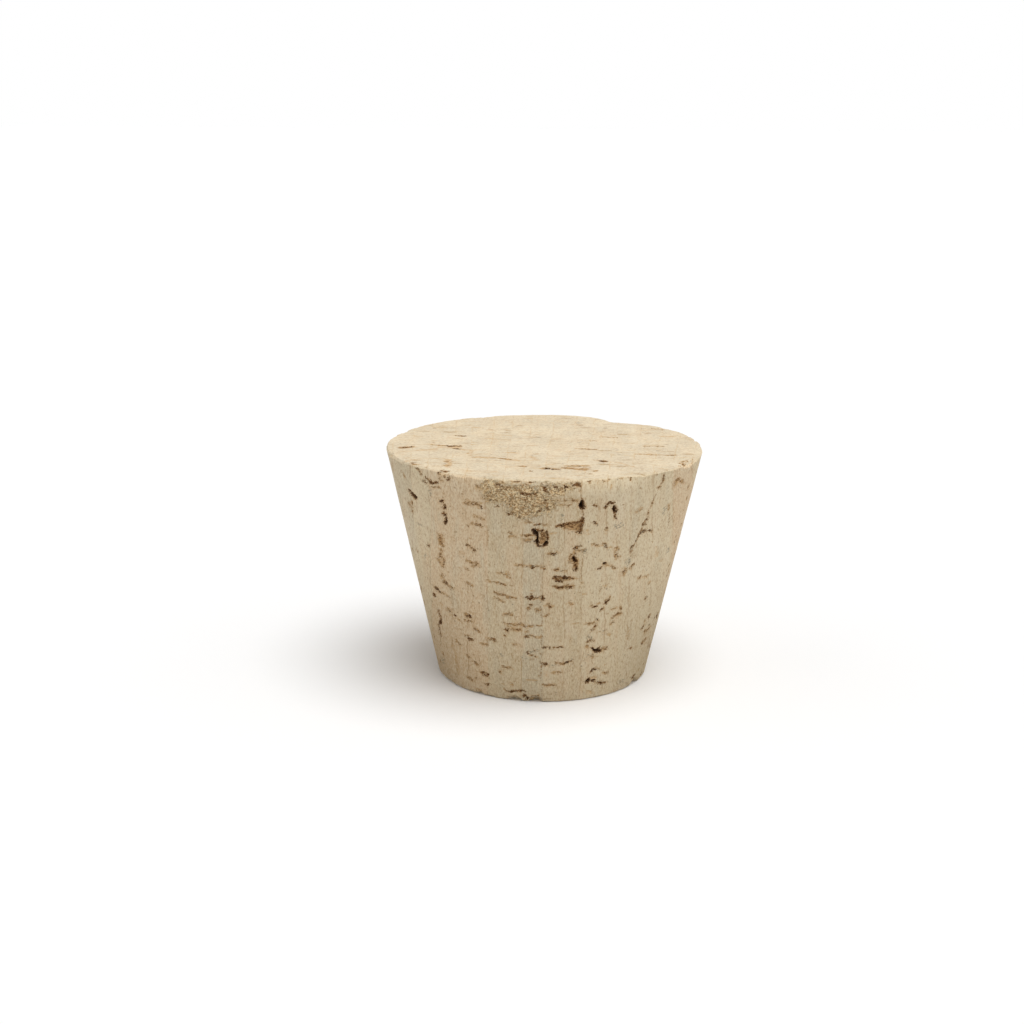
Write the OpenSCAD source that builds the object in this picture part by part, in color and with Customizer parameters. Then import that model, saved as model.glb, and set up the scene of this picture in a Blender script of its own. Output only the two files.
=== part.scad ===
// Tapered stopper of natural cork, standing on its small end.
//
// It is one solid, cut from a plank of bark. The bark's outward direction lies along X, so its
// growth rings are planes of constant X and its lenticels, the breathing channels of the bark,
// run along X. A channel shows as a dash where the front, the back or an end cuts it along its
// length, and as a round pore where the left or the right side cuts it across.
//
// Z = 0 is the small end and the Z axis is the axis of the cone. A place on the side is given as
// a turn, in degrees from the front (-Y) towards +X, and a share of the height from the small end.

/* [Stopper] */
// Diameter across the large end
large_d = 34; // [31:0.5:40]
// Diameter across the small end
small_d = 23; // [20:0.5:27]
// Height from the small end to the large end
height = 25; // [22:0.5:32]
// Width of the worn break along both rims
rim_break = 0.2; // [0.1:0.05:0.4]

/* [Crumbled patch] */
// Length of the crumbled patch along the rim, under the large end
patch_length = 7; // [3:0.5:9]
// Height of the crumbled patch
patch_height = 2.8; // [1.5:0.1:4]
// Depth of the crumbled patch
patch_depth = 0.35; // [0.2:0.05:0.6]
// Diameter of the grains that fell out of the patch
grain_d = 1.6; // [1.2:0.1:2.2]
// Number of grains that fell out of the patch
grain_count = 22; // [8:1:36]

/* [Cracks] */
// Width of the short gashes that a crack is strung together from
gash_width = 0.45; // [0.3:0.05:0.7]
// Length of each gash
gash_length = 1.5; // [1:0.1:2]
// Distance from the middle of one gash to the next
gash_pitch = 1.6; // [1.2:0.1:2.4]

/* [Far side] */
// Number of lenticel channels cut open on the left, the right and the back
far_channels = 42; // [0:1:60]
// Length of the longest of these channels
far_length = 3.2; // [1.5:0.1:4]
// Width of the widest of these channels
far_width = 0.9; // [0.4:0.1:1.2]
// Number of wide pores on the left, the right and the back
far_pores = 12; // [0:1:20]
// Width of the widest of these pores
far_pore_width = 1.1; // [0.7:0.1:1.4]
// Height of the tallest of these pores
far_pore_tall = 1.8; // [1.2:0.1:2.4]
// Depth of the deepest of these pores
far_pore_depth = 0.9; // [0.5:0.1:1.2]

/* [Ends] */
// Number of lenticel channels cut open on the small end
foot_channels = 12; // [0:1:24]
// Length of the longest channel on the small end
foot_length = 2.4; // [1:0.1:3]
// Width of the widest channel on the small end
foot_width = 0.4; // [0.2:0.05:0.6]

/* [Hidden] */

large_r = large_d / 2;
small_r = small_d / 2;

// Sides of the round blank, of the balls that bite its rims, and of the pores and the grains
blank_sides = 96;
chip_sides = 24;
pore_sides = 13;

// Radius of a channel's closed tips
tip_r = 0.03;

// Width of a pit's floor as a share of its mouth, and how far outside the side its cut starts
floor_share = 0.55;
proud = 0.3;

// Turn of the crumbled patch's right-hand end
patch_end_turn = 4;

// First and last turn of the far side, which leaves out the front
far_from_turn = 66;
far_to_turn = 290;

// Sizes of scattered channels and pores, as shares of the largest, and how near a rim they come
least_size = 0.35;
rim_share = 0.06;

// Nearest and farthest of the small end's channels, as shares of its area
foot_near = 0.05;
foot_far = 0.8;

// Seeds of the scattered channels, pores and grains
far_seed = 7;
foot_seed = 21;
grain_seed = 4;

// Wide open pores of the front: turn, share of the height, width, height and depth
front_pores = [
    [0, 0.76, 1.4, 2, 1.4],
    [13, 0.9, 0.8, 1.1, 1],
    [24, 0.87, 1, 0.7, 0.6],
    [26, 0.85, 0.7, 1.5, 0.8],
    [18, 0.89, 0.4, 0.4, 0.4],
    [-39, 0.87, 0.5, 0.5, 0.5],
    [-39, 0.83, 0.5, 0.7, 0.5],
    [-38, 0.79, 0.6, 1.1, 0.9],
    [-55, 0.86, 0.8, 0.5, 0.6],
    [14, 0.67, 0.7, 1.6, 0.4],
    [26, 0.62, 1.2, 0.5, 0.4],
    [28, 0.24, 1.2, 0.8, 0.7],
    [27, 0.09, 2.2, 0.8, 1],
    [49, 0.53, 0.5, 0.7, 0.5],
    [54, 0.43, 0.6, 0.5, 0.4],
    [57, 0.92, 0.6, 0.6, 0.4],
    [-44, 0.67, 0.4, 0.9, 0.3],
    [-45, 0.55, 0.5, 0.7, 0.3],
];

// Lenticel channels of the front: turn, share of the height, length and width
front_channels = [
    [11, 0.8, 2.8, 1.2],
    [-8, 0.77, 2.8, 0.6],
    [-24, 0.91, 2, 0.4],
    [-25, 0.86, 1.5, 0.3],
    [-24, 0.83, 1.8, 0.3],
    [-25, 0.78, 2, 0.4],
    [-28, 0.69, 0.9, 0.5],
    [-28, 0.62, 1, 0.5],
    [10, 0.575, 2.8, 0.7],
    [9, 0.54, 2.5, 0.5],
    [-5, 0.63, 2.9, 0.4],
    [-3, 0.49, 1.6, 0.4],
    [-8, 0.37, 4, 0.3],
    [-13, 0.335, 1.8, 0.3],
    [-4, 0.31, 1.4, 0.3],
    [-5, 0.24, 1.8, 0.6],
    [5, 0.26, 2, 0.3],
    [7, 0.19, 3, 0.3],
    [7, 0.085, 2.3, 0.4],
    [21, 0.29, 0.6, 0.4],
    [27, 0.14, 1.2, 0.4],
    [28, 0.04, 1, 0.5],
    [-44, 0.18, 1, 0.4],
    [-62, 0.06, 0.8, 0.4],
];

// Lenticel channels of the large end: X and Y as shares of its radius, length and width
head_channels = [
    [-0.86, -0.12, 1.2, 0.3],
    [-0.57, -0.07, 2, 0.4],
    [-0.55, 0.27, 1.4, 0.3],
    [0.02, -0.66, 1.4, 0.9],
    [0.19, -0.62, 2.4, 0.5],
    [0.2, -0.68, 2.2, 0.5],
    [0.28, 0.14, 2, 0.3],
    [0.28, -0.1, 1.9, 0.3],
    [0.69, 0, 2.2, 0.3],
    [0.7, -0.27, 3.4, 0.3],
    [0.35, -0.45, 0.8, 0.4],
    [-0.2, 0.5, 1.8, 0.3],
    [0.35, 0.62, 1.6, 0.3],
    [-0.3, -0.4, 3, 0.2],
];

// Cracks of the side: each is a line through places given as turn and share of the height
cracks = [
    [[46, 0.95], [41, 0.81], [39, 0.74], [36, 0.69], [34, 0.56]],
    [[39, 0.74], [43, 0.75]],
    [[58, 0.75], [59, 0.61]],
    [[-55, 0.45], [-54, 0.24]],
];

// Chips of the large rim: turn, width along the rim and depth
head_chips = [
    [20, 3, 0.3],
    [8, 1.6, 0.2],
    [-37, 2.8, 0.5],
    [-74, 1.6, 0.6],
    [62, 4.6, 0.5],
    [101, 1.6, 0.5],
    [145, 8, 1.5],
    [205, 3, 0.4],
    [248, 2.2, 0.4],
];

// Chips of the small rim: turn, width along the rim and depth
foot_chips = [
    [-8, 2.6, 0.4],
    [66, 1.6, 0.4],
    [132, 2, 0.3],
    [222, 2.6, 0.4],
];

// Radius of the blank at a share of the height
function radius_at(share) = small_r + (large_r - small_r) * share;

// A value that goes evenly from one end of a span to the other
function between(first, last, share) = first + (last - first) * share;

// Moves its children to a place on the side, and sinks them towards the axis. What lies along X
// stays along X all the way round, because the bark's direction doesn't turn with the side.
module on_side(turn, share, sink = 0) {
    reach = radius_at(share) - sink;
    translate([reach * sin(turn), -reach * cos(turn), share * height])
        children();
}

// A lenticel channel, centred: a spindle along X, widest in the middle
module channel(length, width) {
    rotate([0, 90, 0])
        rotate_extrude($fn = pore_sides)
            polygon([
                [0, -length / 2],
                [tip_r, -length / 2],
                [width / 2, 0],
                [tip_r, length / 2],
                [0, length / 2],
            ]);
}

// A pit whose mouth lies on the side: a cone that narrows towards the axis of the stopper
module pit(mouth_d, depth) {
    slope = mouth_d * (1 - floor_share) / depth;
    rotate([90, 0, 0])
        translate([0, 0, -depth])
            cylinder(h = depth + proud, d1 = mouth_d * floor_share, d2 = mouth_d + slope * proud,
                $fn = pore_sides);
}

// A wide pore: a row of pits along its longer direction, which gives it a lobed outline
module side_pore(turn, share, width, tall, depth) {
    mouth_d = min(width, tall);
    pits = ceil(max(width, tall) / mouth_d);
    half_x = (width - mouth_d) / 2;
    half_z = (tall - mouth_d) / 2;
    on_side(turn, share)
        rotate([0, 0, turn])
            for (i = [0 : pits - 1]) {
                along = pits > 1 ? i / (pits - 1) : 0.5;
                translate([between(-half_x, half_x, along), 0, between(-half_z, half_z, along)])
                    pit(mouth_d, depth);
            }
}

// A chip out of a rim: a shallow bite by a ball whose centre lies outside, half way between
// straight out and straight past the end. The way is 1 at the large end and -1 at the small end.
module rim_chip(turn, rim_r, rim_z, way, width, depth) {
    ball_r = (width * width / 4 + depth * depth) / (2 * depth);
    off = (ball_r - depth) * sin(45);
    reach = rim_r + off;
    translate([reach * sin(turn), -reach * cos(turn), rim_z + way * off])
        sphere(r = ball_r, $fn = chip_sides);
}

// The blank: a cone with both rims broken
module blank() {
    rotate_extrude($fn = blank_sides)
        polygon([
            [0, 0],
            [small_r - rim_break, 0],
            [radius_at(rim_break / height), rim_break],
            [radius_at(1 - rim_break / height), height - rim_break],
            [large_r - rim_break, height],
            [0, height],
        ]);
}

// The gashes of one stretch of a crack, each a channel turned upright
module crack_stretch(from, to) {
    run_around = (to[0] - from[0]) * PI / 180 * radius_at(from[1]);
    run_up = (to[1] - from[1]) * height;
    steps = ceil(norm([run_around, run_up]) / gash_pitch);
    for (i = [0 : steps - 1]) {
        along = (i + 0.5) / steps;
        on_side(between(from[0], to[0], along), between(from[1], to[1], along))
            rotate([0, 90, 0])
                channel(gash_length, gash_width);
    }
}

// The crumbled patch left of the front, just under the large rim: shallow bites of many grains
module crumbled_patch() {
    first_turn = patch_end_turn - patch_length / large_r * 180 / PI;
    top_share = 1 - (grain_d / 2 + rim_break) / height;
    low_share = top_share - (patch_height - grain_d / 2) / height;
    turns = rands(first_turn, patch_end_turn, grain_count, grain_seed);
    shares = rands(low_share, top_share, grain_count, grain_seed + 1);
    for (i = [0 : grain_count - 1])
        on_side(turns[i], shares[i], patch_depth - grain_d / 2)
            sphere(d = grain_d, $fn = pore_sides);
}

// The left, the right and the back: scattered channels. The thin ones are the most.
module far_side() {
    turns = rands(far_from_turn, far_to_turn, far_channels, far_seed);
    shares = rands(rim_share, 1 - rim_share, far_channels, far_seed + 1);
    sizes = rands(least_size, 1, far_channels, far_seed + 2);
    for (i = [0 : 1 : far_channels - 1])
        on_side(turns[i], shares[i])
            channel(far_length * sizes[i], far_width * pow(sizes[i], 2));
}

// The left, the right and the back: scattered wide pores
module far_side_pores() {
    turns = rands(far_from_turn, far_to_turn, far_pores, far_seed + 3);
    shares = rands(2 * rim_share, 1 - 2 * rim_share, far_pores, far_seed + 4);
    sizes = rands(least_size, 1, far_pores, far_seed + 5);
    for (i = [0 : 1 : far_pores - 1])
        side_pore(turns[i], shares[i], far_pore_width * sizes[i], far_pore_tall * sizes[i],
            far_pore_depth * sizes[i]);
}

// The small end: scattered channels, spread evenly over its area
module foot() {
    turns = rands(0, 360, foot_channels, foot_seed);
    spreads = rands(foot_near, foot_far, foot_channels, foot_seed + 1);
    sizes = rands(least_size, 1, foot_channels, foot_seed + 2);
    for (i = [0 : 1 : foot_channels - 1]) {
        reach = small_r * sqrt(spreads[i]);
        translate([reach * sin(turns[i]), -reach * cos(turns[i]), 0])
            channel(foot_length * sizes[i], foot_width * sizes[i]);
    }
}

module cork_body() {
    color([0.86, 0.76, 0.62])
        difference() {
            blank();
            crumbled_patch();
            far_side();
            far_side_pores();
            foot();
            for (p = front_pores) side_pore(p[0], p[1], p[2], p[3], p[4]);
            for (c = front_channels) on_side(c[0], c[1]) channel(c[2], c[3]);
            for (c = head_channels)
                translate([c[0] * large_r, c[1] * large_r, height]) channel(c[2], c[3]);
            for (line = cracks)
                for (i = [0 : len(line) - 2]) crack_stretch(line[i], line[i + 1]);
            for (c = head_chips) rim_chip(c[0], large_r, height, 1, c[1], c[2]);
            for (c = foot_chips) rim_chip(c[0], small_r, 0, -1, c[1], c[2]);
        }
}

cork_body();
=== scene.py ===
# %% [markdown]
# # A tapered stopper of natural cork
#
# This lesson dresses one solid, a cork stopper 34 mm across the top and 25 mm high. The solid comes
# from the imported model. We keep its sizes, give it a finer skin, and finish the skin as cut bark.
#
# Natural cork is the outer bark of an oak. The stopper is cut so that the bark's outward direction
# lies along X. Two things follow, and they set the whole look:
#
# - each year's growth ring is a plane of constant X, so it is an upright line on the front;
# - the lenticels, the bark's breathing channels, run along X, so they are dashes on the front and
#   on both ends, and round dots on the left and the right.

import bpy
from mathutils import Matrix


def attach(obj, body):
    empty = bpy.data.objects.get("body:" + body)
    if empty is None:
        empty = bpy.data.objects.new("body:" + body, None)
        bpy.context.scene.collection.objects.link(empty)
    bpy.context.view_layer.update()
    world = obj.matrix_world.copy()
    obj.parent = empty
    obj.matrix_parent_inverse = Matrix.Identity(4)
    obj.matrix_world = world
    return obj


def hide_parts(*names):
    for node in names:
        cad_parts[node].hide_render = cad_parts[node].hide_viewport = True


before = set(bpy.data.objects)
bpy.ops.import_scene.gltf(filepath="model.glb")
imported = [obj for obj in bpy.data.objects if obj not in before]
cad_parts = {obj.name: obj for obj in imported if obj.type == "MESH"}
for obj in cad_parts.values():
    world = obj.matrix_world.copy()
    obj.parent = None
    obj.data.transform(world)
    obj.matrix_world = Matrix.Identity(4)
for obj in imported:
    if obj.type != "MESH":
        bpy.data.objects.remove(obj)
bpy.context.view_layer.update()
print("nodes of the packed model:", sorted(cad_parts))

# %% [markdown]
# ## Measures
#
# Blender works in metres. The stopper is easier to think of in millimetres, so every array below is
# in millimetres, and the mesh is turned into metres once, at the end. The skin stays a hair inside
# the solid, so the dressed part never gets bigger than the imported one.

# %% Import the helpers and name the sizes
import itertools
import math

import bpy
import numpy as np
from mathutils import Quaternion, Vector

MM = 0.001
HEIGHT = 25.0
SMALL_R = 11.5
LARGE_R = 17.0
KEEP_IN = 0.05
TILT = math.atan((LARGE_R - SMALL_R) / HEIGHT)
print("the side leans out by", round(math.degrees(TILT), 1), "degrees")

# %% [markdown]
# ## Noise for the numpy surfaces
#
# Bark is never regular. One small function gives smooth random values in space, and the shape uses
# it at several scales. It is seeded, so the stopper is the same each time.

# %% Smooth noise on a lattice
def bark_noise(points, per_mm, seed):
    """Smooth values from -1 to 1. Random values sit on a cubic lattice with per_mm cells to the
    millimetre, and a point takes the blend of its eight corners, by 3t^2 - 2t^3 on each axis."""
    size = 64
    lattice = np.random.default_rng(seed).uniform(-1, 1, (size, size, size))
    scaled = points * per_mm + 200
    cell = np.floor(scaled).astype(int)
    share = scaled - cell
    share = share * share * (3 - 2 * share)
    total = np.zeros(points.shape[:-1])
    for corner in itertools.product((0, 1), repeat=3):
        weight = np.prod(np.where(corner, share, 1 - share), axis=-1)
        spot = (cell + corner) % size
        total += weight * lattice[spot[..., 0], spot[..., 1], spot[..., 2]]
    return total


def seeded(low, high, count, seed):
    """Even random numbers, drawn as the solid's own source draws them: each takes two words of the
    generator, the second one first. So scattered pores land where the solid has them."""
    words = np.random.RandomState(seed).randint(0, 2**32, 2 * count, dtype=np.uint32).astype(float)
    share = (words[0::2] + words[1::2] * 2.0**32) / 2.0**64
    return low + (high - low) * share


print("noise at the middle:", bark_noise(np.zeros((1, 3)), 1.0, 3))

# %% [markdown]
# ## The bare skin
#
# The skin is one closed surface in three parts: the side, and the two end faces.
#
# The side is a grid of rows and columns round a cone. Its columns are closer together at the front,
# where most of the marks are. An end face could be a fan of triangles, but they would all crowd at
# the middle. Instead a square grid is pressed into a round shape, ring by ring, so that its cells
# keep nearly one size and its edge has just as many points as the side has columns.

# %% The grid of the skin
CELLS = 112
COLUMNS = 4 * CELLS
ROWS = 158
CROWD = 0.5


def column_turn(share):
    """Turn of a column in radians from the front, towards +X: 2 pi share - CROWD sin(2 pi share)."""
    even = 2 * np.pi * share
    return even - CROWD * np.sin(even)


def cone_radius(z):
    """Radius of the side at height z: it grows evenly from the small end to the large end."""
    return SMALL_R - KEEP_IN + (LARGE_R - SMALL_R) * z / HEIGHT


def on_circle(turn, radius, z):
    """The point (radius sin turn, -radius cos turn, z), for whole arrays."""
    turn, radius, z = np.broadcast_arrays(turn, radius, z)
    return np.stack([radius * np.sin(turn), -radius * np.cos(turn), z], axis=-1)


def square_to_ring(cells):
    """Ring and share of the way round for each point of a square grid. With a and b from -1 to 1,
    the ring is max(|a|, |b|), and the share runs evenly along that square, from its front middle."""
    step = np.linspace(-1, 1, cells + 1)
    a, b = np.meshgrid(step, step, indexing="ij")
    ring = np.maximum(np.abs(a), np.abs(b))
    safe = np.where(ring == 0, 1, ring)
    front = a / safe / 8
    right = 2 / 8 + b / safe / 8
    back = 4 / 8 - a / safe / 8
    left = 6 / 8 - b / safe / 8
    share = np.where(b == -ring, front, np.where(a == ring, right, np.where(b == ring, back, left)))
    return ring, np.mod(share, 1)


turns = column_turn(np.arange(COLUMNS) / COLUMNS)
print(COLUMNS, "columns by", ROWS, "rows, front step", round(LARGE_R * (turns[1] - turns[0]), 2), "mm")

# %% [markdown]
# ## The worn rims
#
# Both rims are broken by a fine, uneven edge. At the back right the bark gave way when the stopper
# was punched, so the large rim is pulled in there by up to 2 mm.

# %% Rims and their pulled-in place
PULL_TURN = np.radians([118, 124, 131, 135, 139, 144, 150, 153, 157, 162, 168])
PULL_IN = np.array([0, 0.3, 0.2, 0.55, 1.0, 1.5, 1.8, 1.2, 0.7, 0.3, 0])
PULL_REACH = 7.0
WORN_TURN = np.radians([-60, -44, -32, -20, -8, 4, 16, 28, 36, 44])
WORN_IN = np.array([0, 0.35, 0.3, 0.65, 0.7, 0.85, 0.65, 0.7, 0.3, 0])
WORN_REACH = 1.8


def rim_break(turn, seed):
    """Width of the worn edge, 0.12 to 0.4 mm: noise round the rim, squared so that most is narrow."""
    ring = on_circle(turn, LARGE_R, 0.0)
    rough = 0.5 + 0.35 * bark_noise(ring, 0.5, seed) + 0.3 * bark_noise(ring, 2.0, seed + 1)
    return 0.12 + 0.28 * np.clip(rough, 0, 1) ** 2


def pulled_in(turn, z):
    """How far the side is pulled in. At the back right it is full at the large rim and gone
    PULL_REACH mm below it. At the front the rim is only worn round, over WORN_REACH mm."""
    fade = np.clip((z - HEIGHT + PULL_REACH) / PULL_REACH, 0, 1)
    pulled = np.interp(turn, PULL_TURN, PULL_IN) * fade * fade * (3 - 2 * fade)
    from_front = np.mod(turn + np.pi, 2 * np.pi) - np.pi
    fade = np.clip((z - HEIGHT + WORN_REACH) / WORN_REACH, 0, 1)
    return pulled + np.interp(from_front, WORN_TURN, WORN_IN) * fade * fade


break_high = rim_break(turns, 11)
break_low = rim_break(turns, 15)
print("large rim's break:", break_high.min().round(2), "to", break_high.max().round(2), "mm")

# %% The three parts of the skin
up = np.linspace(0, 1, ROWS + 1)[:, None]
side_z = break_low + (HEIGHT - break_low - break_high) * up
side_points = on_circle(turns, cone_radius(side_z) - pulled_in(turns, side_z), side_z)
ring, ring_share = square_to_ring(CELLS)


def end_points(z, edge_radius):
    """An end face: each ring of the pressed square is the edge's radius times the ring's share."""
    shares = np.arange(COLUMNS + 1) / COLUMNS
    radius = ring * np.interp(ring_share, shares, np.append(edge_radius, edge_radius[0]))
    return on_circle(column_turn(ring_share), radius, z)


head_points = end_points(HEIGHT, cone_radius(HEIGHT) - pulled_in(turns, HEIGHT) - break_high)
foot_points = end_points(0.0, cone_radius(0.0) - break_low)
skin = np.concatenate([part.reshape(-1, 3) for part in (side_points, head_points, foot_points)])
SIDE_COUNT = side_points.size // 3
FACE_COUNT = head_points.size // 3
part_of = np.repeat([0, 1, 2], [SIDE_COUNT, FACE_COUNT, FACE_COUNT])
ON_SIDE = part_of == 0
ON_HEAD = part_of == 1
print(len(skin), "points")

# %% [markdown]
# ## Faces
#
# Each grid gives four-sided faces. Two narrow bands, the broken rims, join the side to the ends.
# The order of a face's corners decides which way it points, and all must point out.

# %% Join the points into faces
def grid_faces(first, rows, columns, closed):
    """Corner numbers of a grid's faces: (r, c), (r, c+1), (r+1, c+1), (r+1, c)."""
    r = np.arange(rows)[:, None]
    c = np.arange(columns)[None, :]
    wide = columns if closed else columns + 1
    right = (c + 1) % wide
    corners = [r * wide + c, r * wide + right, (r + 1) * wide + right, (r + 1) * wide + c]
    return first + np.stack(np.broadcast_arrays(*corners), axis=-1).reshape(-1, 4)


def band_faces(lower, upper):
    """Faces between two closed rows of points."""
    return np.stack([lower, np.roll(lower, -1), np.roll(upper, -1), upper], axis=-1)


edge = np.flatnonzero(ring == 1)
edge = edge[np.argsort(ring_share.ravel()[edge])]
side_foot = np.arange(COLUMNS)
faces = np.concatenate([
    grid_faces(0, ROWS, COLUMNS, closed=True),
    band_faces(ROWS * COLUMNS + side_foot, SIDE_COUNT + edge),
    band_faces(SIDE_COUNT + FACE_COUNT + edge, side_foot),
    grid_faces(SIDE_COUNT, CELLS, CELLS, closed=False)[:, ::-1],
    grid_faces(SIDE_COUNT + FACE_COUNT, CELLS, CELLS, closed=False),
])
print(len(faces), "faces,", 2 * len(faces), "triangles")

# %% [markdown]
# ## Which way is in
#
# A pore is made by pushing points in. On the side that is towards the axis, and on an end it is
# straight down. Near a rim the two would cross, so the way in turns smoothly to the slant between.

# %% Direction of every push
RIM_SOFT = 0.8
DOWN = [0.0, 0.0, -1.0]
UP = [0.0, 0.0, 1.0]
turn_of = np.arctan2(skin[:, 0], -skin[:, 1])
outward = on_circle(turn_of, math.cos(TILT), -math.sin(TILT))
flat_in = np.where(ON_HEAD[:, None], DOWN, UP)
slant = on_circle(turn_of, -1.0, 0.0) + np.where(skin[:, 2:] > HEIGHT / 2, DOWN, UP)
to_rim = np.where(ON_SIDE, np.minimum(skin[:, 2], HEIGHT - skin[:, 2]),
                  np.where(ON_HEAD, LARGE_R, SMALL_R) - np.hypot(skin[:, 0], skin[:, 1]))
share = np.exp(-np.clip(to_rim, 0, None) / RIM_SOFT)[:, None]
way_in = np.where(ON_SIDE[:, None], -outward, flat_in) * (1 - share) + slant / math.sqrt(2) * share
way_in /= np.linalg.norm(way_in, axis=1, keepdims=True)
print("steepest slant at a rim:", np.abs(way_in[ON_SIDE, 2]).max().round(2))

# %% [markdown]
# ## Marks of the front
#
# Most marks in cork are cut lenticels: ragged strokes along X, thin loops and arches, with a dark
# core at one end. So a mark is drawn like a pen stroke, from point to point. Each point is three
# whole numbers in hundredths of a millimetre: x, the height z, and the stroke's width there. There
# are five kinds: open pits, dark strokes, brown strokes, light ochre stains, and grey weathered
# specks. These give the stopper its face, so they are listed one by one.

# %% Pits and dark strokes
PITS = [
    [-95,1975,28, -75,1950,42, -60,1900,22, -65,1860,36, -45,1820,20], [0,1805,22, 20,1830,42, 35,1855,20],
    [-50,1810,12, 0,1800,12], [370,2260,35, 380,2230,50, 400,2210,20], [-1380,2180,25, -1315,2140,45],
    [-985,2010,20, -980,1970,35, -985,1935,20], [-1020,2170,28], [700,2200,25, 705,2180,35, 710,2145,25],
    [315,1670,25, 320,1640,40], [605,1575,15, 620,1570,30, 640,1560,15], [220,1450,14, 235,1445,20],
    [520,605,15, 545,585,35, 570,570,50, 600,560,30, 625,545,12], [570,585,30, 600,595,12],
    [455,210,20, 485,225,40, 500,245,15], [530,200,20, 550,200,12], [-1070,720,30],
    [-160,40,25, -135,20,30], [-1015,1470,20, -1010,1450,20]]
DARKS = [
    [-320,2490,20, -220,2485,10, -90,2490,20], [10,2420,35], [215,2435,35], [115,2435,20],
    [295,2445,12, 335,2450,20], [860,2470,20], [130,2020,10, 190,2025,25, 300,2040,10, 390,2080,15],
    [385,2080,20, 385,1990,20, 380,1940,25, 330,1940,12], [35,1960,10, 42,1920,16, 40,1880,16],
    [-80,1980,12, 30,1970,12], [-35,1900,10, 0,1885,12], [-30,1940,8, 10,1935,8],
    [-90,2040,10, -30,2050,15], [-1190,2400,8, -1140,2370,10, -1060,2370,15],
    [-1000,2140,20, -995,2100,25], [-1025,2050,20, -995,2030,25], [-1050,2480,20], [-620,2190,20],
    [-615,1985,20], [-760,1960,20], [495,2240,15, 515,2220,20], [515,2030,20],
    [710,2140,20, 715,2110,15, 710,2075,25], [630,1960,25],
    [610,2200,20, 630,2235,15, 660,2260,25, 690,2235,15], [310,1785,15, 360,1790,20],
    [90,1720,15, 120,1725,15], [330,1590,12, 340,1550,25, 320,1520,12], [620,1780,15, 625,1765,25],
    [550,1520,15, 570,1520,25], [730,1515,15], [660,1150,15, 645,1125,25],
    [110,1450,12, 150,1460,12, 200,1460,18, 240,1445,24, 310,1440,12],
    [105,1435,14, 150,1425,14, 200,1412,10], [120,1350,10, 160,1335,20], [195,1350,15],
    [230,1330,12, 290,1330,12], [-90,1565,25], [10,1560,18], [-155,1220,20, -135,1215,25, -110,1245,20],
    [5,1240,15, 5,1215,20], [-1130,1150,20, -1110,1125,30, -1090,1110,15], [-1140,1035,30], [-990,1230,28],
    [-900,890,20], [-750,925,28], [-375,850,15, -355,835,30], [-115,1130,20],
    [500,1105,10, 520,1095,20, 550,1105,12], [-385,770,15], [605,1045,20, 625,1055,15], [575,935,20],
    [-160,770,20], [15,645,22], [40,650,10, 90,645,10], [120,650,8, 210,650,12], [1060,700,25],
    [460,705,12, 490,700,20, 530,695,12], [-765,645,20, -740,635,28], [-520,705,12, -500,705,18],
    [-630,270,10, -610,265,20, -570,260,12], [505,335,22, 540,345,18, 600,340,10],
    [460,200,12, 520,202,15], [580,180,10, 620,165,22, 670,160,12], [-580,145,15, -555,140,20],
    [-330,110,12, -230,120,12, -180,115,10], [-180,70,30], [-70,60,20], [980,90,25, 1000,120,15],
    [-650,30,15], [1075,1065,22], [-1180,1625,25], [-770,1740,20], [-685,1695,22], [-60,610,12],
    [10,460,20, 50,465,15], [240,465,12, 275,480,20], [-150,585,20], [-210,2360,10, -140,2355,12],
    [-120,2360,12, -70,2355,10], [-460,2430,8, -410,2430,8], [-280,2140,10], [-360,2135,8, -320,2140,10],
    [-60,2170,6, 40,2210,8], [-480,2210,8, -430,2205,10], [20,2390,10, 50,2370,8], [30,2295,10],
    [150,2410,12], [-1290,2470,12, -1240,2430,8], [-990,2460,15], [-960,2420,12, -930,2440,8],
    [-1220,2360,8, -1180,2340,8], [1210,2440,14, 1200,2390,10], [1175,2340,10], [1095,2175,12],
    [1065,2090,10, 1060,2050,12], [1020,1940,12], [960,1840,12], [910,1710,12], [1015,1865,12],
    [1105,1840,14]]
print(len(PITS), "pits and", len(DARKS), "dark strokes")

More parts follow.
